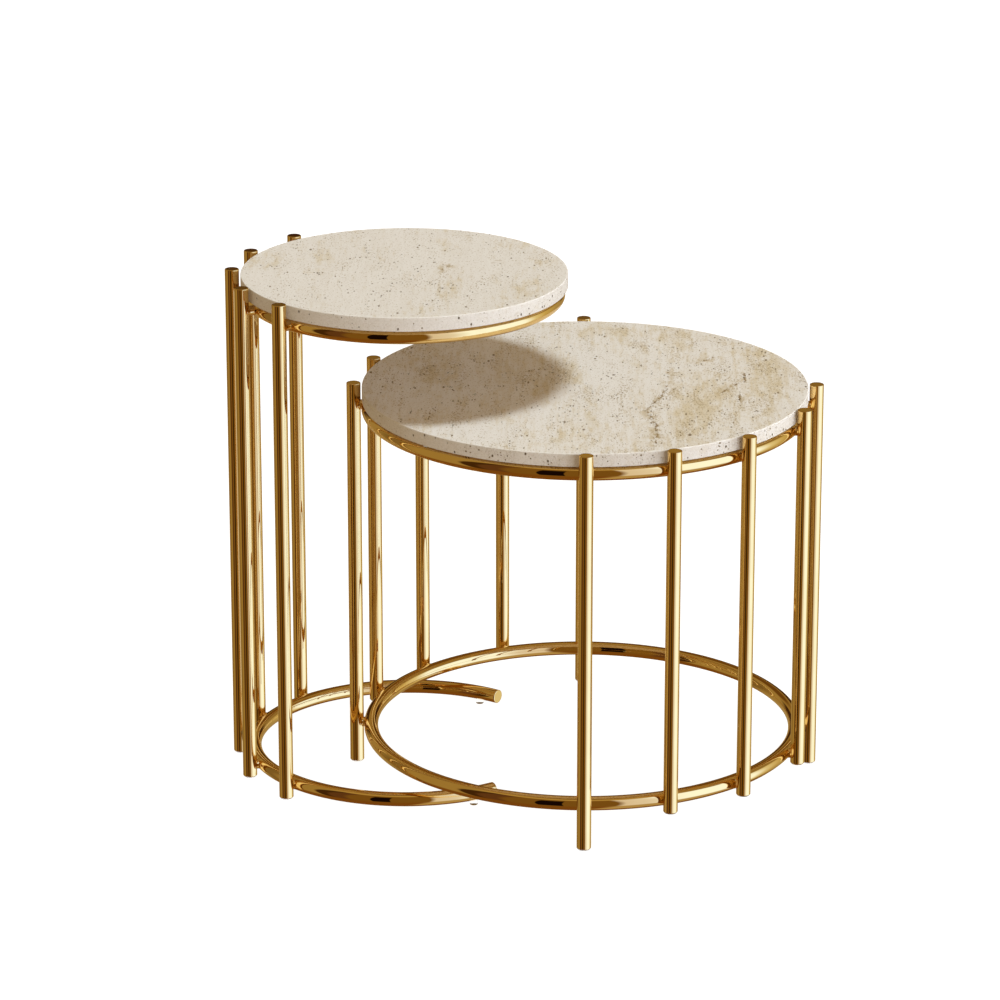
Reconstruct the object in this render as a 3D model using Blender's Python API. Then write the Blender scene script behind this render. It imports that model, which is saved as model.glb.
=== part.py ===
"""Two nesting side tables with round stone tops on polished brass-coloured tube frames.

The short, wider table stands on four legs and has two full rings.  The tall, narrower
table stands on five posts along one side and on a C-shaped base tube, whose open side
lets it slide around one leg of the short table.  Metres, +Z up, the floor at z = 0.  The
origin is on the floor, under the middle of the pair's bounding box.
"""
import math

import bmesh
import bpy
from mathutils import Matrix, Vector

# Tube and joints
TUBE_RADIUS = 0.008
TUBE_WALL = 0.0012
BORE_RADIUS = TUBE_RADIUS - TUBE_WALL
END_CHAMFER = 0.0007
CAP_THICKNESS = 0.002
STUB_RADIUS = 0.006
GAP = 0.0003

# Short table
SHORT_TOP_RADIUS = 0.250
SHORT_TOP_Z = 0.453
SHORT_TOP_THICKNESS = 0.015
SHORT_RING_RADIUS = 0.243
SHORT_POST_CIRCLE = 0.2595
SHORT_POST_TOP_Z = 0.4545
SHORT_LOWER_RING_Z = 0.047
SHORT_BAR_BOTTOM_Z = 0.0375
SHORT_TURN = math.radians(-0.7)
SHORT_LEG_ANGLES = (0, 90, 180, 270)
SHORT_BAR_ANGLES = (111.5, 136.5, 158, 291.5, 313, 338.5)

# Tall table
TALL_TOP_RADIUS = 0.183
TALL_TOP_Z = 0.577
TALL_TOP_THICKNESS = 0.016
TALL_RING_RADIUS = 0.172
TALL_ARC_RADIUS = 0.1765
TALL_ARC_Z = 0.0132
TALL_POST_CIRCLE = 0.193
TALL_POST_TOP_Z = 0.579
TALL_TURN = math.radians(-1.0)
TALL_POST_SPACING = 23.5
TALL_POST_COUNT = 5
TALL_ARC_HALF_OPENING = 54.7
TALL_FOOT_ANGLES = (63, 297)

# How far apart the two tables stand
SPREAD_X = 0.202
TALL_Y = 0.027

# Stone edges, pads and glides
STONE_TOP_CHAMFER = 0.001
STONE_UNDER_CHAMFER = 0.0005
STONE_SEAT = 0.001
PAD_RADIUS = 0.005
SHORT_PAD_ANGLES = (45, 135, 225, 315)
TALL_PAD_ANGLES = (60, 180, 300)
GLIDE_FLANGE = 0.001
GLIDE_RADIUS = 0.0069
GLIDE_EDGE = 0.0003
GLIDE_STEM = 0.012
STEM_TAPER = 0.001
FOOT_RADIUS = 0.0045
FOOT_HEIGHT = 0.0065

# Facets
RING_STEPS = 60
TUBE_SIDES = 12
POST_SIDES = 16
TOP_STEPS = 72
SMALL_SIDES = 12
SHARP_ANGLE = math.radians(35)

LEG_BOTTOM_Z = GLIDE_FLANGE + GAP
SHORT_UPPER_RING_Z = SHORT_TOP_Z - SHORT_TOP_THICKNESS - STONE_SEAT - TUBE_RADIUS
TALL_UPPER_RING_Z = TALL_TOP_Z - TALL_TOP_THICKNESS - STONE_SEAT - TUBE_RADIUS

# The pair's box reaches from the tall table's middle post to the short table's right leg
REACH_LEFT = TALL_POST_CIRCLE * math.cos(TALL_TURN) + TUBE_RADIUS
REACH_RIGHT = SHORT_POST_CIRCLE * math.cos(SHORT_TURN) + TUBE_RADIUS
TALL_X = (REACH_LEFT - REACH_RIGHT - SPREAD_X) / 2
SHORT_X = TALL_X + SPREAD_X


def clear_scene():
    """Remove whatever the opened file holds."""
    for old in list(bpy.data.objects):
        bpy.data.objects.remove(old, do_unlink=True)


def principled(name, colour, roughness, metallic):
    """A Principled material with a plain colour."""
    material = bpy.data.materials.new(name)
    material.use_nodes = True
    shader = material.node_tree.nodes["Principled BSDF"]
    shader.inputs["Base Color"].default_value = (*colour, 1.0)
    shader.inputs["Roughness"].default_value = roughness
    shader.inputs["Metallic"].default_value = metallic
    return material


def table_empty(name, x, y, turn):
    """The empty that carries one table's pieces."""
    empty = bpy.data.objects.new(name, None)
    empty.location = (x, y, 0)
    empty.rotation_euler.z = turn
    bpy.context.collection.objects.link(empty)
    return empty


def mesh_from(bm, name):
    """Close, orient and shade a bmesh, and return it as a mesh."""
    bmesh.ops.recalc_face_normals(bm, faces=bm.faces)
    mesh = bpy.data.meshes.new(name)
    bm.to_mesh(mesh)
    bm.free()
    mesh.shade_smooth()
    mesh.set_sharp_from_angle(angle=SHARP_ANGLE)
    return mesh


def turned(name, profile, sides):
    """A solid of revolution about Z from (radius, height) points that start and end on Z."""
    bm = bmesh.new()
    rings = []
    for radius, height in profile:
        if radius == 0:
            rings.append([bm.verts.new((0, 0, height))])
            continue
        step = 2 * math.pi / sides
        rings.append([bm.verts.new((radius * math.cos(i * step), radius * math.sin(i * step), height))
                      for i in range(sides)])
    for low, high in zip(rings, rings[1:]):
        for i in range(sides):
            j = (i + 1) % sides
            if len(low) == 1:
                bm.faces.new((low[0], high[i], high[j]))
            elif len(high) == 1:
                bm.faces.new((low[i], low[j], high[0]))
            else:
                bm.faces.new((low[i], low[j], high[j], high[i]))
    return mesh_from(bm, name)


def rod_profile(radius, bottom, top, chamfer):
    """The profile of a round bar with chamfered ends."""
    return [(0, bottom), (radius - chamfer, bottom), (radius, bottom + chamfer),
            (radius, top - chamfer), (radius - chamfer, top), (0, top)]


def swept_tube(name, ring_radius, z, start, end):
    """A round bar bent about Z from one angle to another; a full turn closes on itself."""
    full = math.isclose(end - start, 2 * math.pi)
    steps = math.ceil(RING_STEPS * (end - start) / (2 * math.pi))
    bm = bmesh.new()
    sections = []
    for i in range(steps if full else steps + 1):
        turn = Matrix.Rotation(start + (end - start) * i / steps, 3, "Z")
        section = []
        for k in range(TUBE_SIDES):
            around = 2 * math.pi * k / TUBE_SIDES
            point = Vector((ring_radius + TUBE_RADIUS * math.cos(around), 0,
                            z + TUBE_RADIUS * math.sin(around)))
            section.append(bm.verts.new(turn @ point))
        sections.append(section)
    following = sections[1:] + sections[:1] if full else sections[1:]
    for here, there in zip(sections, following):
        for k in range(TUBE_SIDES):
            m = (k + 1) % TUBE_SIDES
            bm.faces.new((here[k], here[m], there[m], there[k]))
    if not full:
        bm.faces.new(sections[0])
        bm.faces.new(sections[-1])
    return mesh_from(bm, name)


def add_piece(name, mesh, material, parent, location=(0, 0, 0), turn=0.0):
    """One named sub-part on its table's empty."""
    piece = bpy.data.objects.new(name, mesh)
    piece.parent = parent
    piece.location = location
    piece.rotation_euler.z = turn
    if not mesh.materials:
        mesh.materials.append(material)
    bpy.context.collection.objects.link(piece)
    return piece


def lay_along(axis, mesh, origin):
    """Turn a mesh made along Z to lie along another axis, through a point."""
    quaternion = Vector((0, 0, 1)).rotation_difference(Vector(axis))
    mesh.transform(Matrix.Translation(origin) @ quaternion.to_matrix().to_4x4())
    return mesh


def combined(name, base, tools):
    """The mesh left after joining or cutting a base mesh with (operation, mesh) tools."""
    work = bpy.data.objects.new(name, base)
    bpy.context.collection.objects.link(work)
    helpers = []
    for operation, mesh in tools:
        helper = bpy.data.objects.new(f"{name}_{operation.lower()}", mesh)
        helper.hide_render = True
        helper.display_type = "WIRE"
        bpy.context.collection.objects.link(helper)
        helpers.append(helper)
        modifier = work.modifiers.new(operation, "BOOLEAN")
        modifier.operation = operation
        modifier.solver = "EXACT"
        modifier.object = helper
    graph = bpy.context.evaluated_depsgraph_get()
    result = bpy.data.meshes.new_from_object(work.evaluated_get(graph))
    result.name = name
    for extra in [work, *helpers]:
        bpy.data.objects.remove(extra, do_unlink=True)
    result.shade_smooth()
    result.set_sharp_from_angle(angle=SHARP_ANGLE)
    return result


def saddle_cutter(name, x, z):
    """A bar across X, as thick as the tube and its gap, that copes a piece to a ring."""
    radius = (TUBE_RADIUS + GAP) / math.cos(math.pi / POST_SIDES) + GAP / 2
    half = 2 * TUBE_RADIUS
    bar = turned(name, [(0, -half), (radius, -half), (radius, half), (0, half)], POST_SIDES)
    return lay_along((0, 1, 0), bar, (x, 0, z))


def post_mesh(name, bottom, top, joints):
    """A capped tube with a short stub towards each (ring height, ring distance) joint.

    The tube stands on the origin's axis with the rings on its -X side, and is open below.
    """
    body = turned(name + "_body", rod_profile(TUBE_RADIUS, bottom, top, END_CHAMFER), POST_SIDES)
    tools = []
    for height, distance in joints:
        stub = turned(name + "_stub", [(0, 0), (STUB_RADIUS, 0), (STUB_RADIUS, distance), (0, distance)],
                      SMALL_SIDES)
        tools.append(("UNION", lay_along((-1, 0, 0), stub, (0, 0, height))))
    bore_bottom = bottom - TUBE_WALL
    bore_top = top - CAP_THICKNESS
    bore = turned(name + "_bore", [(0, bore_bottom), (BORE_RADIUS, bore_bottom),
                                   (BORE_RADIUS, bore_top), (0, bore_top)], POST_SIDES)
    tools.append(("DIFFERENCE", bore))
    for height, distance in joints:
        tools.append(("DIFFERENCE", saddle_cutter(name + "_saddle", -distance, height)))
    return combined(name, body, tools)


def plug_mesh(name):
    """A plastic plug: a flange below z = 0 and a stem up into a tube's bore."""
    stem_radius = BORE_RADIUS - GAP
    top = -GAP
    bottom = top - GLIDE_FLANGE
    profile = [(0, bottom), (GLIDE_RADIUS - GLIDE_EDGE, bottom), (GLIDE_RADIUS, bottom + GLIDE_EDGE),
               (GLIDE_RADIUS, top), (stem_radius, top), (stem_radius, GLIDE_STEM - STEM_TAPER),
               (stem_radius - STEM_TAPER, GLIDE_STEM), (0, GLIDE_STEM)]
    return turned(name, profile, SMALL_SIDES)


def stone_mesh(name, radius, top, thickness):
    """A round stone slab with a small chamfer above and a smaller one below."""
    bottom = top - thickness
    profile = [(0, bottom), (radius - STONE_UNDER_CHAMFER, bottom), (radius, bottom + STONE_UNDER_CHAMFER),
               (radius, top - STONE_TOP_CHAMFER), (radius - STONE_TOP_CHAMFER, top), (0, top)]
    return turned(name, profile, TOP_STEPS)


def pad_mesh(name):
    """A silicone pad with its top at z = 0, coped below to a ring that runs along Y."""
    top_of_tube = -(STONE_SEAT - GAP)
    disc = turned(name + "_disc", [(0, top_of_tube - STONE_SEAT), (PAD_RADIUS, top_of_tube - STONE_SEAT),
                                   (PAD_RADIUS, 0), (0, 0)], SMALL_SIDES)
    return combined(name, disc, [("DIFFERENCE", saddle_cutter(name + "_saddle", 0, top_of_tube - TUBE_RADIUS))])


def foot_mesh(name):
    """A clear foot on the floor, coped above to a tube that runs along Y."""
    disc = turned(name + "_disc", rod_profile(FOOT_RADIUS, 0, FOOT_HEIGHT, END_CHAMFER), SMALL_SIDES)
    return combined(name, disc, [("DIFFERENCE", saddle_cutter(name + "_saddle", 0, TALL_ARC_Z))])


def round_table(radius, degrees, z=0.0):
    """A place on a circle about the table's axis, and the turn that faces it outwards."""
    angle = math.radians(degrees)
    return (radius * math.cos(angle), radius * math.sin(angle), z), angle


def build_short_table(brass, stone, plastic, silicone):
    """The wide table: top, two rings, four legs and six shorter bars."""
    table = table_empty("short_table", SHORT_X, 0, SHORT_TURN)
    top = stone_mesh("short_top", SHORT_TOP_RADIUS, SHORT_TOP_Z, SHORT_TOP_THICKNESS)
    add_piece("short_top", top, stone, table)
    for name, z in (("short_upper_ring", SHORT_UPPER_RING_Z), ("short_lower_ring", SHORT_LOWER_RING_Z)):
        add_piece(name, swept_tube(name, SHORT_RING_RADIUS, z, 0, 2 * math.pi), brass, table)

    reach = SHORT_POST_CIRCLE - SHORT_RING_RADIUS
    joints = [(SHORT_LOWER_RING_Z, reach), (SHORT_UPPER_RING_Z, reach)]
    leg = post_mesh("short_leg", LEG_BOTTOM_Z, SHORT_POST_TOP_Z, joints)
    bar = post_mesh("short_bar", SHORT_BAR_BOTTOM_Z, SHORT_POST_TOP_Z, joints)
    plug = plug_mesh("short_plug")
    for i, degrees in enumerate(SHORT_LEG_ANGLES, 1):
        place, turn = round_table(SHORT_POST_CIRCLE, degrees)
        add_piece(f"short_leg_{i}", leg, brass, table, place, turn)
        place, turn = round_table(SHORT_POST_CIRCLE, degrees, LEG_BOTTOM_Z)
        add_piece(f"short_leg_glide_{i}", plug, plastic, table, place, turn)
    for i, degrees in enumerate(SHORT_BAR_ANGLES, 1):
        place, turn = round_table(SHORT_POST_CIRCLE, degrees)
        add_piece(f"short_bar_{i}", bar, brass, table, place, turn)
        place, turn = round_table(SHORT_POST_CIRCLE, degrees, SHORT_BAR_BOTTOM_Z)
        add_piece(f"short_bar_plug_{i}", plug, plastic, table, place, turn)

    pad = pad_mesh("short_pad")
    for i, degrees in enumerate(SHORT_PAD_ANGLES, 1):
        place, turn = round_table(SHORT_RING_RADIUS, degrees, SHORT_TOP_Z - SHORT_TOP_THICKNESS - GAP)
        add_piece(f"short_top_pad_{i}", pad, silicone, table, place, turn)


def build_tall_table(brass, stone, plastic, silicone):
    """The narrow table: top, upper ring, five posts on one side and a C-shaped base."""
    table = table_empty("tall_table", TALL_X, TALL_Y, TALL_TURN)
    top = stone_mesh("tall_top", TALL_TOP_RADIUS, TALL_TOP_Z, TALL_TOP_THICKNESS)
    add_piece("tall_top", top, stone, table)
    ring = swept_tube("tall_upper_ring", TALL_RING_RADIUS, TALL_UPPER_RING_Z, 0, 2 * math.pi)
    add_piece("tall_upper_ring", ring, brass, table)

    opening = math.radians(TALL_ARC_HALF_OPENING)
    cap_turn = (CAP_THICKNESS + GAP) / TALL_ARC_RADIUS
    arc = swept_tube("tall_base_arc", TALL_ARC_RADIUS, TALL_ARC_Z,
                     opening + cap_turn, 2 * math.pi - opening - cap_turn)
    add_piece("tall_base_arc", arc, brass, table)
    cap_names = ("tall_arc_cap_back", "tall_arc_cap_front")
    for name, angle, side in zip(cap_names, (opening, -opening), (-1, 1)):
        cap = turned(name, rod_profile(TUBE_RADIUS, -CAP_THICKNESS, 0, END_CHAMFER), POST_SIDES)
        lay_along((0, side, 0), cap, (TALL_ARC_RADIUS, 0, TALL_ARC_Z))
        add_piece(name, cap, brass, table, turn=angle)

    joints = [(TALL_ARC_Z, TALL_POST_CIRCLE - TALL_ARC_RADIUS),
              (TALL_UPPER_RING_Z, TALL_POST_CIRCLE - TALL_RING_RADIUS)]
    post = post_mesh("tall_post", LEG_BOTTOM_Z, TALL_POST_TOP_Z, joints)
    plug = plug_mesh("tall_plug")
    for i in range(TALL_POST_COUNT):
        degrees = 180 + TALL_POST_SPACING * (i - (TALL_POST_COUNT - 1) / 2)
        place, turn = round_table(TALL_POST_CIRCLE, degrees)
        add_piece(f"tall_post_{i + 1}", post, brass, table, place, turn)
        place, turn = round_table(TALL_POST_CIRCLE, degrees, LEG_BOTTOM_Z)
        add_piece(f"tall_post_glide_{i + 1}", plug, plastic, table, place, turn)

    foot = foot_mesh("tall_foot")
    for i, degrees in enumerate(TALL_FOOT_ANGLES, 1):
        place, turn = round_table(TALL_ARC_RADIUS, degrees)
        add_piece(f"tall_arc_foot_{i}", foot, plastic, table, place, turn)
    pad = pad_mesh("tall_pad")
    for i, degrees in enumerate(TALL_PAD_ANGLES, 1):
        place, turn = round_table(TALL_RING_RADIUS, degrees, TALL_TOP_Z - TALL_TOP_THICKNESS - GAP)
        add_piece(f"tall_top_pad_{i}", pad, silicone, table, place, turn)


def main():
    clear_scene()
    brass = principled("polished_brass", (0.80, 0.53, 0.20), 0.12, 1.0)
    stone = principled("travertine", (0.76, 0.68, 0.56), 0.45, 0.0)
    plastic = principled("clear_plastic", (0.80, 0.79, 0.76), 0.35, 0.0)
    silicone = principled("silicone", (0.55, 0.54, 0.50), 0.60, 0.0)
    build_short_table(brass, stone, plastic, silicone)
    build_tall_table(brass, stone, plastic, silicone)


main()
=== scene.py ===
"""Looks for two nesting side tables: polished brass-coloured tube and honed travertine tops."""
import math
import random
from contextlib import contextmanager

import bmesh
import bpy
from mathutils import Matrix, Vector


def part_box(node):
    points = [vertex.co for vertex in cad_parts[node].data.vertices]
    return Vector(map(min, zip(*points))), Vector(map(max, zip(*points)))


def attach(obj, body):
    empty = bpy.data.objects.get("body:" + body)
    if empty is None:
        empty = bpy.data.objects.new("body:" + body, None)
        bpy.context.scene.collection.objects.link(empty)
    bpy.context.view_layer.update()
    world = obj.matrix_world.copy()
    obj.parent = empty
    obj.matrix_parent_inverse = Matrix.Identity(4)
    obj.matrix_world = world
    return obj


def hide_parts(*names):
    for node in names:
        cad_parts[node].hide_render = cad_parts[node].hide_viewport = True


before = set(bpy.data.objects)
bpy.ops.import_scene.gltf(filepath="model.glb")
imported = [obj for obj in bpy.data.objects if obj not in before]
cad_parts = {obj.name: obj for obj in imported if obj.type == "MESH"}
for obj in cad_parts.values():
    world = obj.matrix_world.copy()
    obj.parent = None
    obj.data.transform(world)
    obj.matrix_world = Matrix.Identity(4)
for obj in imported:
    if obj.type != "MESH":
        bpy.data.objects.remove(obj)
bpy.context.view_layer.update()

# ---------------------------------------------------------------------------
# Sizes in metres and angles in degrees, the same as the solids'

TUBE_RADIUS = 0.008
TUBE_WALL = 0.0012
CAP_THICKNESS = 0.002
GAP = 0.0003

SHORT_TOP_RADIUS = 0.250
SHORT_RING_RADIUS = 0.243
SHORT_POST_CIRCLE = 0.2595
SHORT_TURN = -0.7
SHORT_LEG_ANGLES = (0, 90, 180, 270)
SHORT_BAR_ANGLES = (111.5, 136.5, 158, 291.5, 313, 338.5)
SHORT_PAD_ANGLES = (45, 135, 225, 315)

TALL_TOP_RADIUS = 0.183
TALL_RING_RADIUS = 0.172
TALL_ARC_RADIUS = 0.1765
TALL_POST_CIRCLE = 0.193
TALL_TURN = -1.0
TALL_POST_ANGLES = (133, 156.5, 180, 203.5, 227)
TALL_ARC_HALF_OPENING = 54.7
TALL_FOOT_ANGLES = (63, 297)
TALL_PAD_ANGLES = (60, 180, 300)

PLUG_FLANGE_RADIUS = 0.0069
FOOT_RADIUS = 0.0045
PAD_RADIUS = 0.005

TINY = 1e-5
SMOOTH_ANGLE = math.radians(30)


def middle(node):
    """The middle of a node's box."""
    low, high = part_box(node)
    return (low + high) / 2


SHORT_AXIS = middle("short_lower_ring").to_2d()
TALL_AXIS = middle("tall_upper_ring").to_2d()


# ---------------------------------------------------------------------------
# Shader sheets: node trees written as expressions


class Value:
    """One node output that Python's arithmetic works on."""

    def __init__(self, sheet, socket):
        self.sheet = sheet
        self.socket = socket

    def __add__(self, other):
        return self.sheet.maths("ADD", self, other)

    __radd__ = __add__

    def __sub__(self, other):
        return self.sheet.maths("SUBTRACT", self, other)

    def __rsub__(self, other):
        return self.sheet.maths("SUBTRACT", other, self)

    def __mul__(self, other):
        return self.sheet.maths("MULTIPLY", self, other)

    __rmul__ = __mul__

    def __truediv__(self, other):
        return self.sheet.maths("DIVIDE", self, other)

    def __pow__(self, other):
        return self.sheet.maths("POWER", self, other)


class Sheet:
    """A node tree under construction."""

    def __init__(self, tree):
        self.tree = tree
        self.tree.nodes.clear()

    def node(self, kind, settings=None, sockets=None, output=0):
        """Add a node: its settings first, then the values or links of its sockets."""
        new = self.tree.nodes.new(kind)
        for name, setting in (settings or {}).items():
            if name == "stops":
                self.set_stops(new.color_ramp, setting)
            else:
                setattr(new, name, setting)
        for name, given in (sockets or {}).items():
            socket = new.inputs[name]
            if isinstance(given, Value):
                self.tree.links.new(given.socket, socket)
            else:
                socket.default_value = given
        return Value(self, new.outputs[output]) if new.outputs else new

    @staticmethod
    def set_stops(ramp, stops):
        """Give a colour ramp its places and colours."""
        while len(ramp.elements) < len(stops):
            ramp.elements.new(1.0)
        for element, (place, colour) in zip(ramp.elements, stops):
            element.position = place
            element.color = (*colour, 1.0)

    def also(self, value, output):
        """Another output of the node that a value comes from."""
        return Value(self, value.socket.node.outputs[output])

    def split(self, vector):
        """The X, Y and Z of a vector."""
        x = self.node("ShaderNodeSeparateXYZ", {}, {"Vector": vector})
        return x, self.also(x, "Y"), self.also(x, "Z")

    def maths(self, operation, *terms):
        """Arithmetic on numbers."""
        return self.node("ShaderNodeMath", {"operation": operation}, dict(enumerate(terms)))

    def vectors(self, operation, *terms, output=0):
        """Arithmetic on vectors; output 1 is a plain number."""
        return self.node("ShaderNodeVectorMath", {"operation": operation}, dict(enumerate(terms)), output)

    def blend(self, factor, first, second):
        """Mix two colours."""
        sockets = {0: factor, 6: self.colour(first), 7: self.colour(second)}
        return self.node("ShaderNodeMix", {"data_type": "RGBA"}, sockets, output=2)

    @staticmethod
    def colour(given):
        """A fixed colour gains its alpha; a value passes through."""
        return given if isinstance(given, Value) else (*given, 1.0)

    def step(self, value, low, high):
        """0 below low, 1 above high and a smooth step between."""
        return self.node("ShaderNodeMapRange", {"interpolation_type": "SMOOTHSTEP"},
                         {"Value": value, "From Min": low, "From Max": high})

    def inside(self, value, low, high, soft):
        """1 between low and high, falling to 0 over a soft edge outside them."""
        return self.step(value, low - soft, low) * (1 - self.step(value, high, high + soft))

    def ramp(self, value, stops):
        """A colour that runs straight from stop to stop."""
        return self.node("ShaderNodeValToRGB", {"stops": stops}, {"Fac": value})

    def noise(self, vector, scale, detail=4.0, roughness=0.55, distortion=0.0, output=0):
        """Noise, as a number or, at output 1, as a colour."""
        sockets = {"Vector": vector, "Scale": scale, "Detail": detail, "Roughness": roughness,
                   "Distortion": distortion}
        return self.node("ShaderNodeTexNoise", {}, sockets, output)


# ---------------------------------------------------------------------------
# Studio: camera, floor, sun and the surroundings that the metal mirrors

CAMERA_PLACE = (-0.02744, -4.98203, 2.00397)
CAMERA_TILT = math.radians(90 - 18.713)
SENSOR = 36.0
CAMERA_LENS = 4.6572 * SENSOR
FLOOR_SIZE = 60.0
FLOOR_COLOUR = (0.20, 0.197, 0.195, 1.0)
WHITE = (1.0, 1.0, 1.0)
SUN_STRENGTH = 2.13
SUN_WIDTH = math.radians(15)
SUN_COLOUR = (0.79, 0.905, 1.0)
SUN_TILT = math.radians(1.5)


def build_camera():
    """The camera in front of the tables, looking down a little."""
    data = bpy.data.cameras.new("camera")
    data.sensor_width = SENSOR
    data.lens = CAMERA_LENS
    camera = bpy.data.objects.new("camera", data)
    camera.location = CAMERA_PLACE
    camera.rotation_euler = (CAMERA_TILT, 0, 0)
    bpy.context.collection.objects.link(camera)
    bpy.context.scene.camera = camera


# What the metal mirrors, by angle round from the front, anticlockwise from above, and by height
DIM = (0.345, 0.25, 0.095)
DEEP = (0.055, 0.024, 0.006)
OLIVE = (0.115, 0.052, 0.022)
TAWNY = (0.190, 0.104, 0.022)
BLACK = (0.05, 0.02, 0.006)
AMBER = (0.30, 0.20, 0.06)
UMBER = (0.14, 0.065, 0.012)
WINDOW = (1.08, 1.40, 2.25)
WALLS = (
    (-180, DIM), (-132, DIM), (-118, (0.20, 0.14, 0.05)), (-108, (0.22, 0.15, 0.06)), (-98, DIM), (-67, DIM),
    (-65, DEEP), (-57, DEEP), (-54, OLIVE), (-45, OLIVE), (-40, TAWNY), (-11, TAWNY), (17, TAWNY),
    (21, (0.74, 0.76, 0.98)), (36, (0.80, 0.88, 1.22)), (50, WINDOW), (96, WINDOW),
    (106, (0.76, 0.78, 0.68)), (118, (0.58, 0.49, 0.24)), (136, (0.42, 0.34, 0.16)), (180, DIM))
BACK_WALL = (
    (-90, (0.36, 0.26, 0.11)), (-9, (0.40, 0.29, 0.12)), (-2, BLACK), (15.5, BLACK), (18, AMBER), (22, AMBER),
    (26, UMBER), (52, UMBER), (58, DIM), (90, DIM))


def mirrored_room(sheet, round_way, height):
    """The room as the metal shows it: dim warm walls, a wide window to the right and a dark slot."""
    walls = sheet.ramp(round_way / 360 + 0.5, [(angle / 360 + 0.5, colour) for angle, colour in WALLS])
    slot = sheet.inside(round_way, -24.5, -11.5, 0.8) * sheet.inside(height, -31, 40, 2)
    walls = sheet.blend(slot, walls, (0.008, 0.003, 0.002))
    ceiling = sheet.blend(sheet.inside(round_way, -75, 60, 30), (0.30, 0.21, 0.08), (0.44, 0.32, 0.125))
    ceiling = sheet.blend(sheet.step(height, 68, 82), ceiling, (0.22, 0.14, 0.05))
    wall_top = 56 - sheet.maths("MAXIMUM", round_way - 50, 0) * 0.55
    upper = sheet.blend(sheet.step(height - wall_top, -3, 3), walls, ceiling)
    behind = sheet.step(sheet.maths("ABSOLUTE", round_way), 140, 152)
    back_wall = sheet.ramp(height / 180 + 0.5, [((angle + 90) / 180, colour) for angle, colour in BACK_WALL])
    upper = sheet.blend(behind, upper, back_wall)
    ground = sheet.blend(sheet.inside(round_way, 24, 110, 14), (0.19, 0.08, 0.014), (0.46, 0.36, 0.20))
    return sheet.blend(sheet.step(height, -46, -30), ground, upper)


def soft_light(sheet, round_way, height):
    """What lights the stone: warm from all round, and a white panel low on the right."""
    panel = sheet.inside(round_way, 22, 110, 10) * sheet.inside(height, -36, 20, 8)
    low_light = sheet.inside(height, -60, 10, 8)
    soft = sheet.blend(low_light, (0.37, 0.25, 0.105), (0.53, 0.41, 0.285))
    return sheet.blend(panel, soft, (2.50, 2.53, 2.60))


def build_surroundings():
    """White behind the tables, with one room for mirror reflections and another for soft light."""
    world = bpy.data.worlds.new("studio")
    world.use_nodes = True
    bpy.context.scene.world = world
    sheet = Sheet(world.node_tree)
    x, y, z = sheet.split(sheet.node("ShaderNodeTexCoord", output=0))
    round_way = sheet.maths("ARCTAN2", x, 0 - y) / math.pi * 180
    height = sheet.maths("ARCSINE", z) / math.pi * 180

    seen = sheet.node("ShaderNodeLightPath", output="Is Camera Ray")
    reflected = sheet.also(seen, "Is Glossy Ray")
    background = sheet.blend(reflected, soft_light(sheet, round_way, height),
                             mirrored_room(sheet, round_way, height))
    background = sheet.blend(seen, background, WHITE)
    shader = sheet.node("ShaderNodeBackground", {}, {"Color": background, "Strength": 1.0})
    sheet.node("ShaderNodeOutputWorld", {}, {"Surface": shader})


def build_light():
    """A broad, slightly blue sun almost straight overhead, that the metal doesn't mirror."""
    data = bpy.data.lights.new("overhead", "SUN")
    data.energy = SUN_STRENGTH
    data.angle = SUN_WIDTH
    data.color = SUN_COLOUR
    sun = bpy.data.objects.new("overhead", data)
    sun.rotation_euler = (SUN_TILT, 0, 0)
    sun.visible_glossy = False
    bpy.context.collection.objects.link(sun)


def build_floor():
    """A plain white floor, bright enough to lose the tables' shadows, that the metal doesn't mirror."""
    settle()
    bpy.ops.mesh.primitive_plane_add(size=FLOOR_SIZE, location=(0, 0, 0))
    floor = started("studio_floor")
    floor.visible_glossy = False
    floor.visible_diffuse = False
    material = bpy.data.materials.new("pale_floor")
    material.use_nodes = True
    shader = material.node_tree.nodes["Principled BSDF"]
    shader.inputs["Base Color"].default_value = FLOOR_COLOUR
    shader.inputs["Roughness"].default_value = 1.0
    shader.inputs["Specular IOR Level"].default_value = 0.0
    shader.inputs["Emission Color"].default_value = (*WHITE, 1.0)
    shader.inputs["Emission Strength"].default_value = 1.0
    floor.data.materials.append(material)


# ---------------------------------------------------------------------------
# Modelling steps


def settle():
    """Back to object mode with nothing selected."""
    if bpy.context.mode != "OBJECT":
        bpy.ops.object.mode_set(mode="OBJECT")
    bpy.ops.object.select_all(action="DESELECT")


def take(piece):
    """Select this piece alone and make it the active one."""
    settle()
    piece.select_set(True)
    bpy.context.view_layer.objects.active = piece


def started(name):
    """Name the primitive that was just added and move its place into its mesh."""
    piece = bpy.context.object
    piece.name = piece.data.name = name
    bpy.ops.object.transform_apply(location=True, rotation=True, scale=True)
    return piece


@contextmanager
def editing():
    """Edit mode for the active piece, with all of it selected."""
    bpy.ops.object.mode_set(mode="EDIT")
    bpy.ops.mesh.select_mode(type="VERT")
    bpy.ops.mesh.select_all(action="SELECT")
    yield
    bpy.ops.object.mode_set(mode="OBJECT")


def choose(kind, test):
    """Select the vertices, edges or faces that pass a test, and nothing else."""
    bpy.ops.mesh.select_mode(type=kind)
    bpy.ops.mesh.select_all(action="DESELECT")
    shape = bpy.context.edit_object.data
    mesh = bmesh.from_edit_mesh(shape)
    for part in {"VERT": mesh.verts, "EDGE": mesh.edges, "FACE": mesh.faces}[kind]:
        if test(part):
            part.select_set(True)
    mesh.select_flush_mode()
    bmesh.update_edit_mesh(shape)


def both_ends(test):
    """A test of an edge that asks the same of both its ends."""
    return lambda edge: all(test(vertex.co) for vertex in edge.verts)


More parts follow.
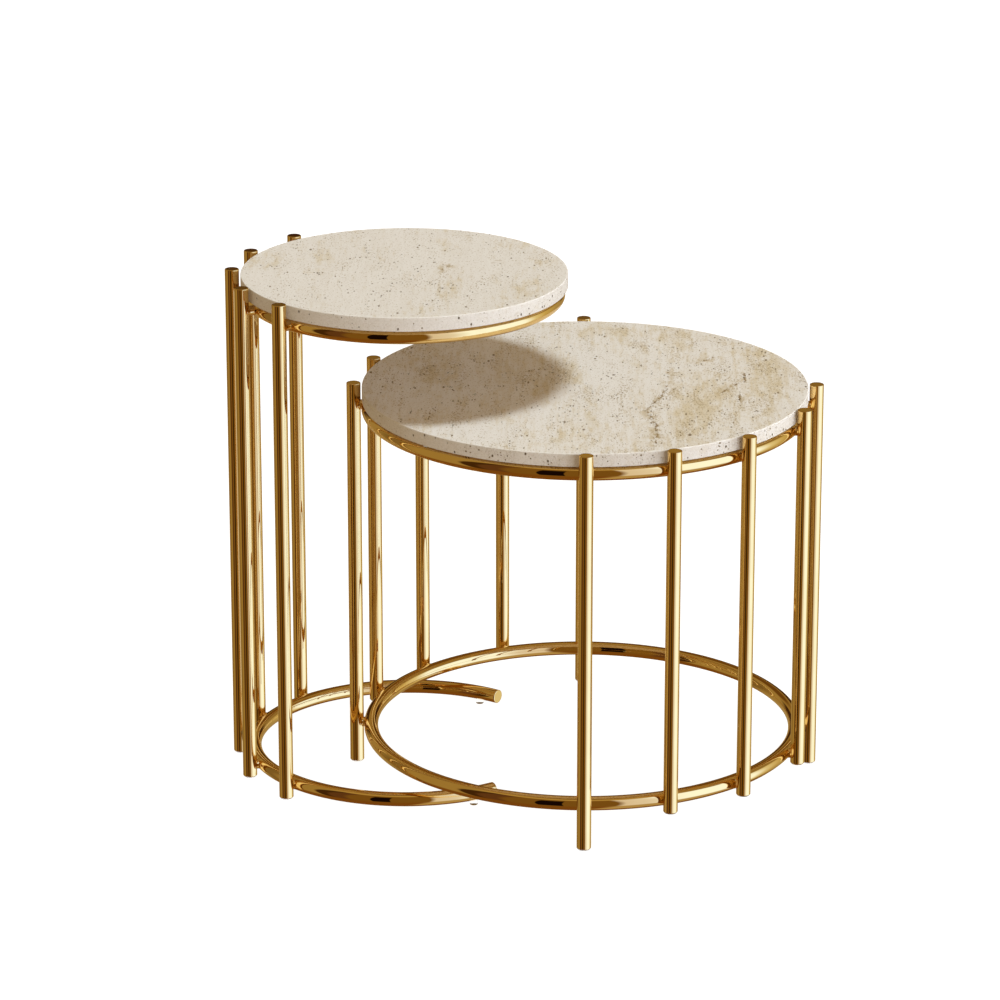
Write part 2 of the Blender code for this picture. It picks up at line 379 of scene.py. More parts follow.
def slice_at(height):
    """Cut a loop all the way round at a height."""
    bpy.ops.mesh.select_all(action="SELECT")
    bpy.ops.mesh.bisect(plane_co=(0, 0, height), plane_no=(0, 0, 1))


def round_rim(height, size, segments):
    """Round the rim of a flat end at a height."""
    choose("EDGE", both_ends(lambda co: abs(co.z - height) < TINY))
    bpy.ops.mesh.bevel(offset=size, segments=segments, affect="EDGES")


def edge_in(height, width):
    """Inset the flat end at a height, so that the rounding beside it ends cleanly."""
    choose("FACE", lambda face: (abs(face.normal.z) > 0.99
                                 and abs(face.calc_center_median().z - height) < TINY))
    bpy.ops.mesh.inset(thickness=width)


def combine(piece, tool, operation, overlaps=False):
    """Join a tool to a piece, or cut it away; overlaps says that parts of the tool cross each other."""
    take(piece)
    bpy.ops.object.modifier_add(type="BOOLEAN")
    modifier = piece.modifiers[-1]
    modifier.operation = operation
    modifier.solver = "EXACT"
    modifier.use_self = overlaps
    modifier.object = tool
    bpy.ops.object.modifier_apply(modifier=modifier.name)
    bpy.data.objects.remove(tool)


def smooth(piece):
    """Shade a piece smooth wherever its faces meet gently."""
    take(piece)
    bpy.ops.object.shade_smooth_by_angle(angle=SMOOTH_ANGLE)


def copied(piece, name):
    """A copy with its own mesh."""
    take(piece)
    bpy.ops.object.duplicate(linked=False)
    copy = bpy.context.object
    copy.name = copy.data.name = name
    return copy


def stand(piece, axis, degrees):
    """Turn a piece about its table's axis and carry it there, with its place in its mesh."""
    take(piece)
    piece.location = (*axis, 0)
    piece.rotation_euler.z = math.radians(degrees)
    bpy.ops.object.transform_apply(location=True, rotation=True, scale=True)


def finish(piece, body, slot, material, *nodes):
    """Give a piece its material, the body it moves with and the nodes it stands for."""
    piece.data.materials.clear()
    piece.data.materials.append(material)
    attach(piece, body)
    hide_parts(*nodes)


def finish_round(master, name, node, body, axis, turn, angles, slot, material):
    """Copy a finished shape to each angle round its table."""
    for number, degrees in enumerate(angles, 1):
        piece = copied(master, f"{name}_{number}")
        stand(piece, axis, degrees + turn)
        finish(piece, body, slot, material, f"{node}_{number}")
    bpy.data.objects.remove(master)


# ---------------------------------------------------------------------------
# Pieces, each modelled round the Z axis of its table


def bent_tube(name, bend_radius, height, start, sweep, steps, thickness=TUBE_RADIUS, sides=32):
    """A round tube bent about Z; a full turn closes on itself, and any other is closed at both ends."""
    settle()
    angle = math.radians(start)
    bpy.ops.mesh.primitive_circle_add(
        vertices=sides, radius=thickness, rotation=(math.pi / 2, 0, angle),
        location=(bend_radius * math.cos(angle), bend_radius * math.sin(angle), height))
    tube = started(name)
    with editing():
        bpy.ops.mesh.spin(steps=steps, angle=math.radians(sweep), center=(0, 0, height), axis=(0, 0, -1))
        bpy.ops.mesh.select_all(action="SELECT")
        bpy.ops.mesh.remove_doubles(threshold=TINY)
        bpy.ops.mesh.fill_holes(sides=0)
        bpy.ops.mesh.select_all(action="SELECT")
        bpy.ops.mesh.normals_make_consistent(inside=False)
    smooth(tube)
    return tube


def cope_tool(name, bend_radius, height):
    """A short stretch of ring, to hollow the end of what meets it."""
    return bent_tube(name, bend_radius, height, -4, 8, 12)


ARM_CUTS = 13
ARM_WAIST = 0.0054
ARM_COLLAR = 0.0069
FLARE_STARTS = 0.0046


def spool_arm(name, ring_radius, circle, height):
    """The short arm between a ring and a post: a thick pin, flared by the weld at both ends."""
    settle()
    length = circle - ring_radius
    bpy.ops.mesh.primitive_cylinder_add(
        vertices=40, radius=ARM_WAIST, depth=length, rotation=(0, math.pi / 2, 0),
        location=(circle - length / 2, 0, height))
    arm = started(name)
    with editing():
        choose("EDGE", lambda edge: abs(edge.verts[0].co.x - edge.verts[1].co.x) > length / 2)
        bpy.ops.mesh.subdivide(number_cuts=ARM_CUTS)
        flare_reach = length / 2 - FLARE_STARTS
        for cut in range(ARM_CUTS + 2):
            x = ring_radius + length * cut / (ARM_CUTS + 1)
            away = min(abs(x - (circle - length / 2)) / flare_reach, 1)
            size = 1 + (ARM_COLLAR / ARM_WAIST - 1) * away ** 3
            choose("VERT", lambda vertex: abs(vertex.co.x - x) < TINY)
            bpy.ops.transform.resize(value=(1, size, size), center_override=(x, 0, height))
    return arm


POST_SIDES = 64
POST_ROUNDING = 0.0009
POST_CHAMFER = 0.0004
POST_TOP_EDGE = 0.0004
ARM_ROOM = 0.0085


def tube_post(name, low, high, circle, arms):
    """A tube standing at (circle, 0): closed and rounded above, open below, with an arm to each ring."""
    settle()
    bpy.ops.mesh.primitive_cylinder_add(vertices=POST_SIDES, radius=TUBE_RADIUS, depth=high - low,
                                        location=(circle, 0, (low + high) / 2))
    post = started(name)
    with editing():
        round_rim(high, POST_ROUNDING, 4)
        round_rim(low, POST_CHAMFER, 2)
        edge_in(high, POST_TOP_EDGE)
        for height in (low + 0.001, high - 0.0014):
            slice_at(height)
        for _, height in arms:
            slice_at(height - ARM_ROOM)
            slice_at(height + ARM_ROOM)
    for ring_radius, height in arms:
        combine(post, spool_arm(f"{name}_arm", ring_radius, circle, height), "UNION")
    for ring_radius, height in arms:
        combine(post, cope_tool(f"{name}_cope", ring_radius, height), "DIFFERENCE")
    take(post)
    with editing():
        bpy.ops.mesh.remove_doubles(threshold=TINY)
        edge_in(low, TUBE_WALL - POST_CHAMFER)
        bpy.ops.mesh.extrude_region_move(TRANSFORM_OT_translate={"value": (0, 0, high - low - CAP_THICKNESS)})
    smooth(post)
    return post


def cap_disc(name, bend_radius, height, start, side):
    """The rounded disc that closes an end of the base tube."""
    settle()
    depth = CAP_THICKNESS + GAP
    bpy.ops.mesh.primitive_cylinder_add(vertices=48, radius=TUBE_RADIUS, depth=depth,
                                        rotation=(math.pi / 2, 0, 0),
                                        location=(bend_radius, side * depth / 2, height))
    cap = started(name)
    with editing():
        choose("EDGE", both_ends(lambda co: abs(co.y) < TINY))
        bpy.ops.mesh.bevel(offset=0.0007, segments=4, affect="EDGES")
        choose("FACE", lambda face: abs(face.normal.y) > 0.99 and abs(face.calc_center_median().y) < TINY)
        bpy.ops.mesh.inset(thickness=0.0004)
    smooth(cap)
    stand(cap, (0, 0), start)
    return cap


PLUG_FLANGE = 0.001
PLUG_STEM_RADIUS = 0.0058
PLUG_RIBS = 4
PLUG_RIB_SIZE = 1.12
PLUG_RISES = ((0.0012, 1.0), (0.0004, PLUG_RIB_SIZE), (0.0008, 1.0), (0.0004, 1 / PLUG_RIB_SIZE))


def tube_plug(name, low, circle):
    """A plug at the foot of a post: a thin flange with a ribbed stem up inside the tube."""
    settle()
    bpy.ops.mesh.primitive_cylinder_add(vertices=48, radius=PLUG_FLANGE_RADIUS, depth=PLUG_FLANGE,
                                        location=(circle, 0, low + PLUG_FLANGE / 2))
    plug = started(name)
    with editing():
        round_rim(low, 0.0003, 2)
        edge_in(low + PLUG_FLANGE, PLUG_FLANGE_RADIUS - PLUG_STEM_RADIUS)
        height = low + PLUG_FLANGE
        for _ in range(PLUG_RIBS):
            for rise, size in PLUG_RISES:
                height += rise
                bpy.ops.mesh.extrude_region_move(TRANSFORM_OT_translate={"value": (0, 0, rise)})
                bpy.ops.transform.resize(value=(size, size, 1), center_override=(circle, 0, height))
        bpy.ops.mesh.inset(thickness=0.001)
        bpy.ops.transform.translate(value=(0, 0, 0.0006))
    smooth(plug)
    return plug


def stone_pad(name, low, high, circle, ring_height):
    """A thin domed pad between a ring and the stone."""
    settle()
    bpy.ops.mesh.primitive_cylinder_add(vertices=40, radius=PAD_RADIUS, depth=high - low,
                                        location=(circle, 0, (low + high) / 2))
    pad = started(name)
    with editing():
        round_rim(high, 0.0003, 3)
    combine(pad, cope_tool(f"{name}_cope", circle, ring_height), "DIFFERENCE")
    smooth(pad)
    return pad


def floor_foot(name, high, circle, tube_height):
    """A small clear foot under the base tube, rounded on the floor and coped to the tube."""
    settle()
    bpy.ops.mesh.primitive_cylinder_add(vertices=40, radius=FOOT_RADIUS, depth=high,
                                        location=(circle, 0, high / 2))
    foot = started(name)
    with editing():
        round_rim(0, 0.0008, 3)
        edge_in(0, 0.0006)
        bpy.ops.transform.translate(value=(0, 0, 0.0002))
    combine(foot, cope_tool(f"{name}_cope", circle, tube_height), "DIFFERENCE")
    smooth(foot)
    return foot


# ---------------------------------------------------------------------------
# Stone tops

STONE_SIDES = 256
STONE_CHAMFER = 0.001
STONE_UNDER_CHAMFER = 0.0005
STONE_EDGE = 0.0015
BAND_LEAN = math.radians(1.5)

# Open pits are cut into the mesh, and stay this far from the rim
PIT_MARGIN = 0.005

# Each top's pit clusters: across and back from its middle, how many, how wide a scatter
SHORT_PITS = (
    (-0.210, 0.025, 9, 0.010), (-0.190, 0.065, 7, 0.008), (-0.175, 0.130, 4, 0.010),
    (-0.150, -0.010, 9, 0.007), (-0.155, 0.040, 6, 0.003), (-0.090, 0.030, 4, 0.006),
    (-0.120, -0.035, 3, 0.004), (-0.085, -0.030, 6, 0.010), (-0.040, 0.035, 10, 0.010),
    (-0.050, 0.000, 6, 0.008), (-0.030, 0.135, 4, 0.003), (-0.015, 0.140, 4, 0.008),
    (0.030, 0.035, 9, 0.006), (-0.005, -0.010, 7, 0.008), (-0.010, -0.100, 3, 0.003),
    (-0.010, -0.135, 6, 0.006), (-0.025, -0.125, 4, 0.006), (0.035, -0.050, 3, 0.004),
    (0.100, 0.150, 6, 0.008), (0.085, 0.040, 9, 0.009), (0.110, 0.045, 6, 0.009),
    (0.085, -0.080, 9, 0.008), (0.180, 0.025, 6, 0.003), (0.170, -0.055, 4, 0.002),
    (0.200, 0.105, 9, 0.009), (0.200, -0.030, 4, 0.004), (0.145, -0.175, 3, 0.003),
    (-0.175, -0.105, 6, 0.010))
TALL_PITS = (
    (-0.020, -0.030, 9, 0.006), (-0.010, 0.000, 6, 0.008), (-0.030, -0.090, 6, 0.005),
    (-0.050, 0.090, 5, 0.005), (0.025, 0.095, 4, 0.003), (0.030, 0.055, 3, 0.003),
    (0.050, -0.075, 9, 0.008), (0.030, -0.150, 6, 0.008), (-0.095, 0.060, 6, 0.006),
    (-0.100, -0.005, 4, 0.005), (0.110, -0.010, 4, 0.004), (0.155, 0.050, 5, 0.006),
    (0.150, -0.040, 6, 0.008), (-0.150, 0.000, 4, 0.008), (0.015, 0.005, 4, 0.004))

# Tan and cream clouds: across and back from the middle, half width, half length
SHORT_TAN = (
    (0.105, 0.170, 0.030, 0.070), (0.210, 0.105, 0.040, 0.080), (0.200, 0.000, 0.035, 0.080),
    (0.140, -0.050, 0.045, 0.090), (0.120, -0.150, 0.035, 0.090), (0.190, -0.120, 0.025, 0.060),
    (-0.010, 0.045, 0.020, 0.060), (-0.065, -0.190, 0.015, 0.050), (-0.025, -0.190, 0.020, 0.050),
    (0.035, 0.205, 0.060, 0.030), (-0.055, -0.010, 0.020, 0.060), (-0.165, 0.050, 0.030, 0.090))
SHORT_CREAM = (
    (0.035, -0.040, 0.035, 0.130), (0.020, 0.090, 0.040, 0.060), (0.135, 0.160, 0.015, 0.050),
    (0.155, -0.100, 0.010, 0.050), (-0.120, -0.180, 0.060, 0.050), (-0.060, 0.190, 0.040, 0.050),
    (0.070, 0.000, 0.015, 0.080))
SHORT_CRACKS = (
    ((0.095, 0.045), (0.090, -0.025), (0.075, -0.070), (0.065, -0.095), (0.075, -0.145), (0.073, -0.220)),
    ((0.180, 0.040), (0.180, 0.010), (0.162, -0.010), (0.150, -0.033)),
    ((0.171, -0.035), (0.171, -0.060)),
    ((0.132, 0.086), (0.148, 0.104)))
TALL_TAN = (
    (-0.095, 0.060, 0.020, 0.035), (-0.100, -0.005, 0.020, 0.020), (-0.150, 0.045, 0.030, 0.050),
    (0.050, -0.080, 0.020, 0.060), (0.025, -0.150, 0.020, 0.040), (0.120, 0.115, 0.030, 0.030),
    (0.155, 0.050, 0.020, 0.050), (0.140, -0.075, 0.025, 0.060), (0.045, 0.020, 0.010, 0.040),
    (0.045, 0.110, 0.015, 0.040))
TALL_CREAM = (
    (0.000, 0.000, 0.340, 0.340),
    (-0.150, -0.065, 0.040, 0.060), (0.090, -0.090, 0.020, 0.070), (-0.055, 0.030, 0.020, 0.050),
    (0.000, -0.090, 0.010, 0.060), (0.075, 0.060, 0.020, 0.060))
TALL_CRACKS = (((0.041, 0.002), (0.049, 0.025)),)


def pit_spots(chance, radius, low, high, clusters):
    """Places and sizes of the open pits: each cluster's own, strays, and some in the rim."""
    spots = []
    furthest = radius - PIT_MARGIN
    for x, y, count, spread in clusters:
        for _ in range(count):
            along = chance.gauss(0, 2.2 * spread)
            place = Vector((x + chance.gauss(0, spread) + along * math.sin(BAND_LEAN), y + along))
            if place.length < furthest:
                spots.append(((*place, high), chance.choice((0.0006, 0.0008, 0.0010, 0.0012))))
    for _ in range(len(clusters) * 2):
        place = Vector((chance.uniform(-radius, radius), chance.uniform(-radius, radius)))
        if place.length < furthest:
            spots.append(((*place, high), chance.choice((0.0005, 0.0006, 0.0008))))
    for _ in range(len(clusters) * 3):
        angle = chance.uniform(0, 2 * math.pi)
        height = chance.uniform(low + 0.002, high - 0.002)
        place = (radius * math.cos(angle), radius * math.sin(angle), height)
        spots.append((place, chance.choice((0.0004, 0.0006, 0.0008, 0.0012))))
    return spots


def pit_blobs(name, spots, chance, high):
    """One mesh of small lumpy balls, to be cut out of the stone."""
    settle()
    lumps = []
    for number in range(4):
        bpy.ops.mesh.primitive_ico_sphere_add(subdivisions=2, radius=1)
        lump = started(f"{name}_lump_{number}")
        with editing():
            bpy.ops.transform.vertex_random(offset=0.16, seed=number)
        lumps.append(lump)
    blobs = []
    for (x, y, z), size in spots:
        blob = copied(chance.choice(lumps), f"{name}_blob")
        if abs(z - high) < TINY:
            blob.location = (x, y, z + 0.25 * size)
            blob.scale = (size, size * chance.uniform(1.3, 2.6), size)
            blob.rotation_euler.z = chance.gauss(-0.1, 0.3)
        else:
            blob.location = (x, y, z)
            blob.scale = (size, size, size * 1.3)
        bpy.ops.object.transform_apply(location=True, rotation=True, scale=True)
        blobs.append(blob)
    for lump in lumps:
        bpy.data.objects.remove(lump)
    take(blobs[0])
    for blob in blobs:
        blob.select_set(True)
    bpy.ops.object.join()
    return bpy.context.object


SHORT_SEED = 11
TALL_SEED = 5
SHORT_PITTING = 1.0
TALL_PITTING = 0.55


def stone_slab(name, radius, low, high, seed, clusters):
    """A round honed slab with eased edges and open pits."""
    settle()
    bpy.ops.mesh.primitive_cylinder_add(vertices=STONE_SIDES, radius=radius, depth=high - low,
                                        location=(0, 0, (low + high) / 2))
    slab = started(name)
    with editing():
        round_rim(high, STONE_CHAMFER, 3)
        round_rim(low, STONE_UNDER_CHAMFER, 2)
        edge_in(high, STONE_EDGE)
        edge_in(low, STONE_EDGE)
        slice_at(high - 0.0016)
        slice_at(low + 0.0011)
    chance = random.Random(seed)
    blobs = pit_blobs(name, pit_spots(chance, radius, low, high, clusters), chance, high)
    combine(slab, blobs, "DIFFERENCE", overlaps=True)
    smooth(slab)
    return slab


# ---------------------------------------------------------------------------
# Materials


def new_material(name):
    """A material with nothing in it yet, and the sheet to write it on."""
    material = bpy.data.materials.new(name)
    material.use_nodes = True
    return material, Sheet(material.node_tree)


def finish_material(sheet, sockets):
    """End a material with its shader."""
    shader = sheet.node("ShaderNodeBsdfPrincipled", {}, sockets)
    sheet.node("ShaderNodeOutputMaterial", {}, {"Surface": shader})


def polished_brass():
    """Mirror-bright brass with a faint patina, smudges and wave."""
    material, sheet = new_material("polished_brass")
    place = sheet.node("ShaderNodeTexCoord", output=3)
    patina = sheet.step(sheet.noise(place, 22.0, 5.0), 0.40, 0.62)
    colour = sheet.blend(patina, (0.925, 0.645, 0.255), (0.95, 0.67, 0.27))
    smudge = sheet.step(sheet.noise(place, 38.0, 6.0, distortion=0.6), 0.50, 0.68)
    roughness = smudge * 0.022 + sheet.noise(place, 420.0, 3.0) * 0.012 + 0.006
    wave = sheet.noise(place, 60.0, 2.0)
    bump = sheet.node("ShaderNodeBump", {}, {"Strength": 0.05, "Distance": 0.0003, "Height": wave})
    finish_material(sheet, {"Base Color": colour, "Metallic": 1.0, "Roughness": roughness, "Normal": bump})
    return material


def clear_plastic():
    """Clear plastic, a little hazy."""
    material, sheet = new_material("clear_plastic")
    place = sheet.node("ShaderNodeTexCoord", output=3)
    haze = sheet.noise(place, 240.0, 4.0)
    colour = sheet.blend(haze, (1.0, 1.0, 0.995), (0.985, 0.985, 0.98))
    finish_material(sheet, {"Base Color": colour, "Roughness": haze * 0.12 + 0.04, "Transmission Weight": 1.0,
                            "IOR": 1.15})
    return material


def silicone():
    """Soft grey silicone with dust on it."""
    material, sheet = new_material("silicone")
    place = sheet.node("ShaderNodeTexCoord", output=3)
    dust = sheet.noise(place, 700.0, 4.0)
    colour = sheet.blend(sheet.step(dust, 0.45, 0.7), (0.56, 0.55, 0.52), (0.66, 0.65, 0.61))
    finish_material(sheet, {"Base Color": colour, "Roughness": dust * 0.2 + 0.5, "Subsurface Weight": 0.15})
    return material


CREAM = (0.812, 0.778, 0.730)
DARKER_CREAM = (0.772, 0.732, 0.674)
TAN = (0.672, 0.575, 0.410)
GRAIN = (0.56, 0.47, 0.32)
STAIN = (0.50, 0.38, 0.20)
CRACK = (0.23, 0.145, 0.055)
SPECK = (0.37, 0.265, 0.13)
PAINTED_PIT = (0.175, 0.120, 0.055)
OPEN_PIT = (0.13, 0.090, 0.042)
# Painted highlight colour for the eased top edge of the stone
PAINTED_EDGE_HIGHLIGHT = (0.88, 0.85, 0.80)

# Painted pits: cells to a metre, how rare, the smallest and the spread of sizes in cells
PIT_LAYERS = ((330.0, 0.96, 0.16, 0.24), (190.0, 0.99, 0.12, 0.20), (95.0, 1.02, 0.10, 0.12))


def warped(sheet, local, flat, scale, detail, reach):
    """A flat place pushed about by noise, so that what is drawn on it wanders."""
    push = sheet.vectors("SUBTRACT", sheet.noise(local, scale, detail, output=1), (0.5, 0.5, 0.5))
    return sheet.vectors("ADD", flat, sheet.vectors("MULTIPLY", push, (reach, reach, 0.0)))


def stretched(sheet, banded, share):
    """Coordinates that draw a pattern out along the bands."""
    return sheet.vectors("MULTIPLY", banded, (1.0, share, 1.0))


def soft_patch(sheet, place, patch):
    """A soft oval, 1 in its middle."""
    x, y, half_width, half_length = patch
    off = sheet.vectors("SUBTRACT", place, (x, y, 0))
    off = sheet.vectors("MULTIPLY", off, (1 / half_width, 1 / half_length, 0))
    return 1 - sheet.step(sheet.vectors("LENGTH", off, output=1), 0.25, 1.2)


def crack_distance(sheet, place, cracks):
    """How far the surface is from the nearest of some chains of straight lines."""
    nearest = 1.0
    for points in cracks:
        for start, end in zip(points, points[1:]):
            start, end = Vector((*start, 0)), Vector((*end, 0))
            run = end - start
            off = sheet.vectors("SUBTRACT", place, tuple(start))
            along = sheet.vectors("DOT_PRODUCT", off, tuple(run / run.length_squared), output=1)
            along = sheet.maths("MINIMUM", sheet.maths("MAXIMUM", along, 0), 1)
            foot = sheet.node("ShaderNodeVectorMath", {"operation": "SCALE"},
                              {"Vector": tuple(run), "Scale": along})
            nearest = sheet.maths("MINIMUM", nearest, sheet.vectors("DISTANCE", off, foot, output=1))
    return nearest


def painted_pits(sheet, drawn, density):
    """Small dark pits in three sizes, more of them where the stone is dense with them."""
    pits = 0.0
    for scale, share, smallest, spread in PIT_LAYERS:
        cells = sheet.node("ShaderNodeTexVoronoi", {"feature": "F1"}, {"Vector": drawn, "Scale": scale})
        lot = sheet.node("ShaderNodeSeparateColor", {}, {"Color": sheet.also(cells, "Color")})
        reach = smallest + sheet.also(lot, "Green") * spread
        chosen = sheet.step(lot + density * 0.32, share, share + 0.01)
        pits = sheet.maths("MAXIMUM", pits, (1 - sheet.step(cells, reach * 0.75, reach)) * chosen)
    return pits


def open_pits(sheet, z, from_axis, radius, thickness):
    """1 inside the pits that are cut into the top and the rim."""
    inward = radius - from_axis
    in_top = sheet.step(0 - z, 0.00010, 0.00035) * sheet.step(inward, 0.0013, 0.0017)
    in_rim = sheet.step(inward, 0.00010, 0.00035) * sheet.step(0 - z, 0.0013, 0.0017)
    return sheet.maths("MAXIMUM", in_top, in_rim) * sheet.step(z + thickness, 0.0008, 0.0012)


def travertine(name, axis, node, radius, tan_patches, cream_patches, cracks, pitting):
    """Honed cream travertine: tan clouds and streaks, grain, cracks, pits, a greyer rim and a painted
    highlight along the eased top edge.
    """
    low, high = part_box(node)
    material, sheet = new_material(name)
    place = sheet.node("ShaderNodeTexCoord", output=3)
    local = sheet.vectors("SUBTRACT", place, (*axis, high.z))
    x, y, z = sheet.split(local)
    flat = sheet.node("ShaderNodeCombineXYZ", {}, {"X": x, "Y": y})
    cloudy = warped(sheet, local, flat, 34.0, 5.0, 0.030)
    jagged = warped(sheet, local, flat, 90.0, 4.0, 0.012)
    banded = sheet.node("ShaderNodeVectorRotate", {"rotation_type": "Z_AXIS"},
                        {"Vector": local, "Angle": BAND_LEAN})
    drawn = stretched(sheet, banded, 0.42)

    bands = sheet.noise(stretched(sheet, banded, 0.16), 26.0, 5.0, 0.6, 0.3)
    mottle = sheet.noise(drawn, 85.0, 8.0, 0.70)
    streaks = sheet.noise(stretched(sheet, banded, 0.09), 210.0, 5.0, 0.65)
    tone = (bands - 0.5) * 1.1 + (mottle - 0.5) * 1.5 + (streaks - 0.5) * 1.1
    for patch in tan_patches:
        tone = tone + soft_patch(sheet, cloudy, patch) * 0.24
    for patch in cream_patches:
        tone = tone - soft_patch(sheet, cloudy, patch) * 0.22
    tan = sheet.step(tone, -0.16, 0.60)
    cream = sheet.blend(sheet.step(bands * 0.4 + streaks * 0.6, 0.38, 0.62), CREAM, DARKER_CREAM)
    stone = sheet.blend(tan, cream, TAN)
    grain = sheet.noise(drawn, 560.0, 4.0, 0.80)
    stone = sheet.blend(sheet.step(grain, 0.40, 0.66) * (0.16 + tan * 0.16), stone, GRAIN)

    crack = crack_distance(sheet, jagged, cracks)
    stain = (1 - sheet.step(crack, 0.001, 0.012)) * sheet.step(mottle, 0.44, 0.58)
    stone = sheet.blend(stain * 0.62, stone, STAIN)
    broken = sheet.step(sheet.noise(drawn, 170.0, 4.0, 0.7), 0.46, 0.56)
    line = (1 - sheet.step(crack, 0.0004, 0.0021)) * broken
    stone = sheet.blend(line * 0.85, stone, CRACK)

    gather = sheet.step(sheet.noise(stretched(sheet, banded, 0.30), 34.0, 3.0), 0.46, 0.68)
    density = (gather * 0.65 + tan * 0.35) * pitting
    specks = sheet.noise(drawn, 480.0, 2.0, 0.7)
    speckled = sheet.step(specks + density * 0.14, 0.600, 0.656)
    stone = sheet.blend(speckled * 0.62, stone, SPECK)
    pits = painted_pits(sheet, drawn, density)
    stone = sheet.blend(pits * 0.85, stone, PAINTED_PIT)

    from_axis = (x * x + y * y) ** 0.5
    rim = sheet.step(from_axis, radius - 0.0010, radius - 0.0002)
    rim_shade = sheet.blend(sheet.step(grain, 0.35, 0.65), (0.735, 0.72, 0.69), (0.62, 0.605, 0.575))
    stone = sheet.blend(rim * (1 - pits) * 0.62, stone, rim_shade)
    # Painted highlight: a pale line round the eased top edge, standing in for light caught by the chamfer
    near_top = sheet.step(z, -0.0016, -0.0008)
    edge_highlight_mask = sheet.inside(from_axis, radius - 0.0012, radius - 0.0003, 0.0004) * near_top
    stone = sheet.blend(edge_highlight_mask * 0.55, stone, PAINTED_EDGE_HIGHLIGHT)
    stone = sheet.blend(open_pits(sheet, z, from_axis, radius, high.z - low.z) * 0.85, stone, OPEN_PIT)

    height = 0 - pits - line * 0.8 - speckled * 0.3 + grain * 0.12
    bump = sheet.node("ShaderNodeBump", {}, {"Strength": 0.6, "Distance": 0.0007, "Height": height})
    finish_material(sheet, {"Base Color": stone, "Roughness": 0.44 + mottle * 0.14 + pits * 0.3,
                            "Specular IOR Level": 0.30, "Normal": bump})
    return material


# ---------------------------------------------------------------------------
# The two tables


def build_short_table(brass, plastic, soft):
    """The wide low table: two rings, four legs, six hanging posts, the stone and its pads."""
    low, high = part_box("short_top")
    stone = travertine("travertine_short", SHORT_AXIS, "short_top", SHORT_TOP_RADIUS, SHORT_TAN, SHORT_CREAM,
                       SHORT_CRACKS, SHORT_PITTING)
    slab = stone_slab("short_stone_top", SHORT_TOP_RADIUS, low.z, high.z, SHORT_SEED, SHORT_PITS)
    stand(slab, SHORT_AXIS, SHORT_TURN)
    finish(slab, "short_table", "travertine", stone, "short_top")

    upper = middle("short_upper_ring").z
    lower = middle("short_lower_ring").z
    for name, node, height in (("short_upper_hoop", "short_upper_ring", upper),
                               ("short_lower_hoop", "short_lower_ring", lower)):
        hoop = bent_tube(name, SHORT_RING_RADIUS, height, 0, 360, 288)
        stand(hoop, SHORT_AXIS, SHORT_TURN)
        finish(hoop, "short_table", "polished_brass", brass, node)

    arms = ((SHORT_RING_RADIUS, lower), (SHORT_RING_RADIUS, upper))
    for name, node, plug_name, plug_node, angles in (
            ("short_post", "short_leg", "short_post_glide", "short_leg_glide", SHORT_LEG_ANGLES),
            ("short_hanging_post", "short_bar", "short_hanging_post_plug", "short_bar_plug",
             SHORT_BAR_ANGLES)):
        low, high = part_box(f"{node}_1")
        post = tube_post(f"{name}_model", low.z, high.z, SHORT_POST_CIRCLE, arms)
        finish_round(post, name, node, "short_table", SHORT_AXIS, SHORT_TURN, angles, "polished_brass", brass)
        low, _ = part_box(f"{plug_node}_1")
        plug = tube_plug(f"{plug_name}_model", low.z, SHORT_POST_CIRCLE)
        finish_round(plug, plug_name, plug_node, "short_table", SHORT_AXIS, SHORT_TURN, angles,
                     "clear_plastic", plastic)

    low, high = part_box("short_top_pad_1")
    pad = stone_pad("short_pad_model", low.z, high.z, SHORT_RING_RADIUS, upper)
    finish_round(pad, "short_stone_pad", "short_top_pad", "short_table", SHORT_AXIS, SHORT_TURN,
                 SHORT_PAD_ANGLES, "silicone", soft)


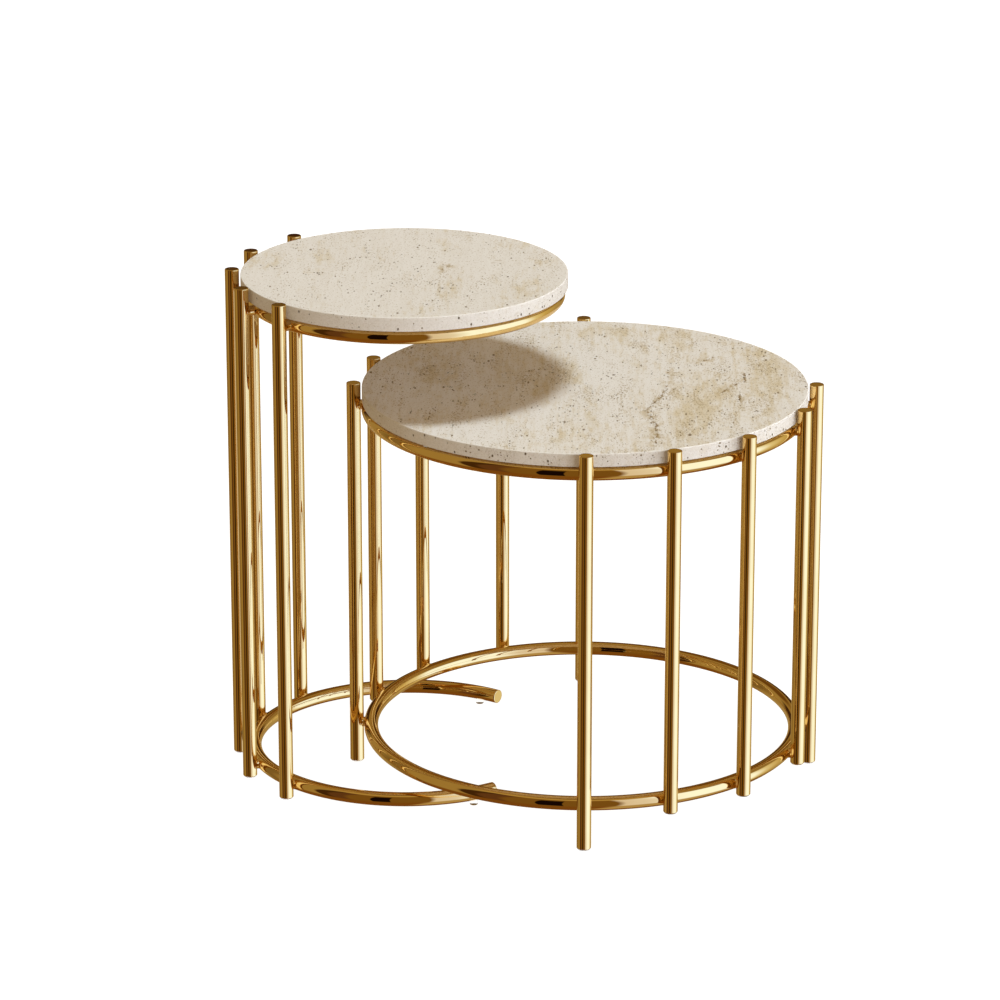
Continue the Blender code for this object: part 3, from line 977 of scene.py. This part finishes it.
def build_tall_table(brass, plastic, soft):
    """The narrow tall table: a ring, five posts behind, an open base tube, the stone and its pads."""
    low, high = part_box("tall_top")
    stone = travertine("travertine_tall", TALL_AXIS, "tall_top", TALL_TOP_RADIUS, TALL_TAN, TALL_CREAM,
                       TALL_CRACKS, TALL_PITTING)
    slab = stone_slab("tall_stone_top", TALL_TOP_RADIUS, low.z, high.z, TALL_SEED, TALL_PITS)
    stand(slab, TALL_AXIS, TALL_TURN)
    finish(slab, "tall_table", "travertine", stone, "tall_top")

    upper = middle("tall_upper_ring").z
    floor_height = middle("tall_base_arc").z
    hoop = bent_tube("tall_hoop", TALL_RING_RADIUS, upper, 0, 360, 224)
    stand(hoop, TALL_AXIS, TALL_TURN)
    finish(hoop, "tall_table", "polished_brass", brass, "tall_upper_ring")

    cap_turn = math.degrees((CAP_THICKNESS + GAP) / TALL_ARC_RADIUS)
    start = TALL_ARC_HALF_OPENING + cap_turn
    bow = bent_tube("tall_bow", TALL_ARC_RADIUS, floor_height, start, 360 - 2 * start, 180)
    stand(bow, TALL_AXIS, TALL_TURN)
    finish(bow, "tall_table", "polished_brass", brass, "tall_base_arc")
    for name, node, degrees, side in (
            ("tall_bow_end_back", "tall_arc_cap_back", TALL_ARC_HALF_OPENING, 1),
            ("tall_bow_end_front", "tall_arc_cap_front", -TALL_ARC_HALF_OPENING, -1)):
        cap = cap_disc(name, TALL_ARC_RADIUS, floor_height, degrees, side)
        stand(cap, TALL_AXIS, TALL_TURN)
        finish(cap, "tall_table", "polished_brass", brass, node)

    low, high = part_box("tall_post_1")
    arms = ((TALL_ARC_RADIUS, floor_height), (TALL_RING_RADIUS, upper))
    post = tube_post("tall_post_model", low.z, high.z, TALL_POST_CIRCLE, arms)
    finish_round(post, "tall_tube_post", "tall_post", "tall_table", TALL_AXIS, TALL_TURN, TALL_POST_ANGLES,
                 "polished_brass", brass)
    low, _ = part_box("tall_post_glide_1")
    plug = tube_plug("tall_glide_model", low.z, TALL_POST_CIRCLE)
    finish_round(plug, "tall_tube_post_glide", "tall_post_glide", "tall_table", TALL_AXIS, TALL_TURN,
                 TALL_POST_ANGLES, "clear_plastic", plastic)

    _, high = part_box("tall_arc_foot_1")
    foot = floor_foot("tall_foot_model", high.z, TALL_ARC_RADIUS, floor_height)
    finish_round(foot, "tall_bow_foot", "tall_arc_foot", "tall_table", TALL_AXIS, TALL_TURN, TALL_FOOT_ANGLES,
                 "clear_plastic", plastic)
    low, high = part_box("tall_top_pad_1")
    pad = stone_pad("tall_pad_model", low.z, high.z, TALL_RING_RADIUS, upper)
    finish_round(pad, "tall_stone_pad", "tall_top_pad", "tall_table", TALL_AXIS, TALL_TURN, TALL_PAD_ANGLES,
                 "silicone", soft)


bpy.context.scene.view_settings.view_transform = "Standard"
build_camera()
build_surroundings()
build_light()
build_floor()
metal, clear, soft_pad = polished_brass(), clear_plastic(), silicone()
build_short_table(metal, clear, soft_pad)
build_tall_table(metal, clear, soft_pad)
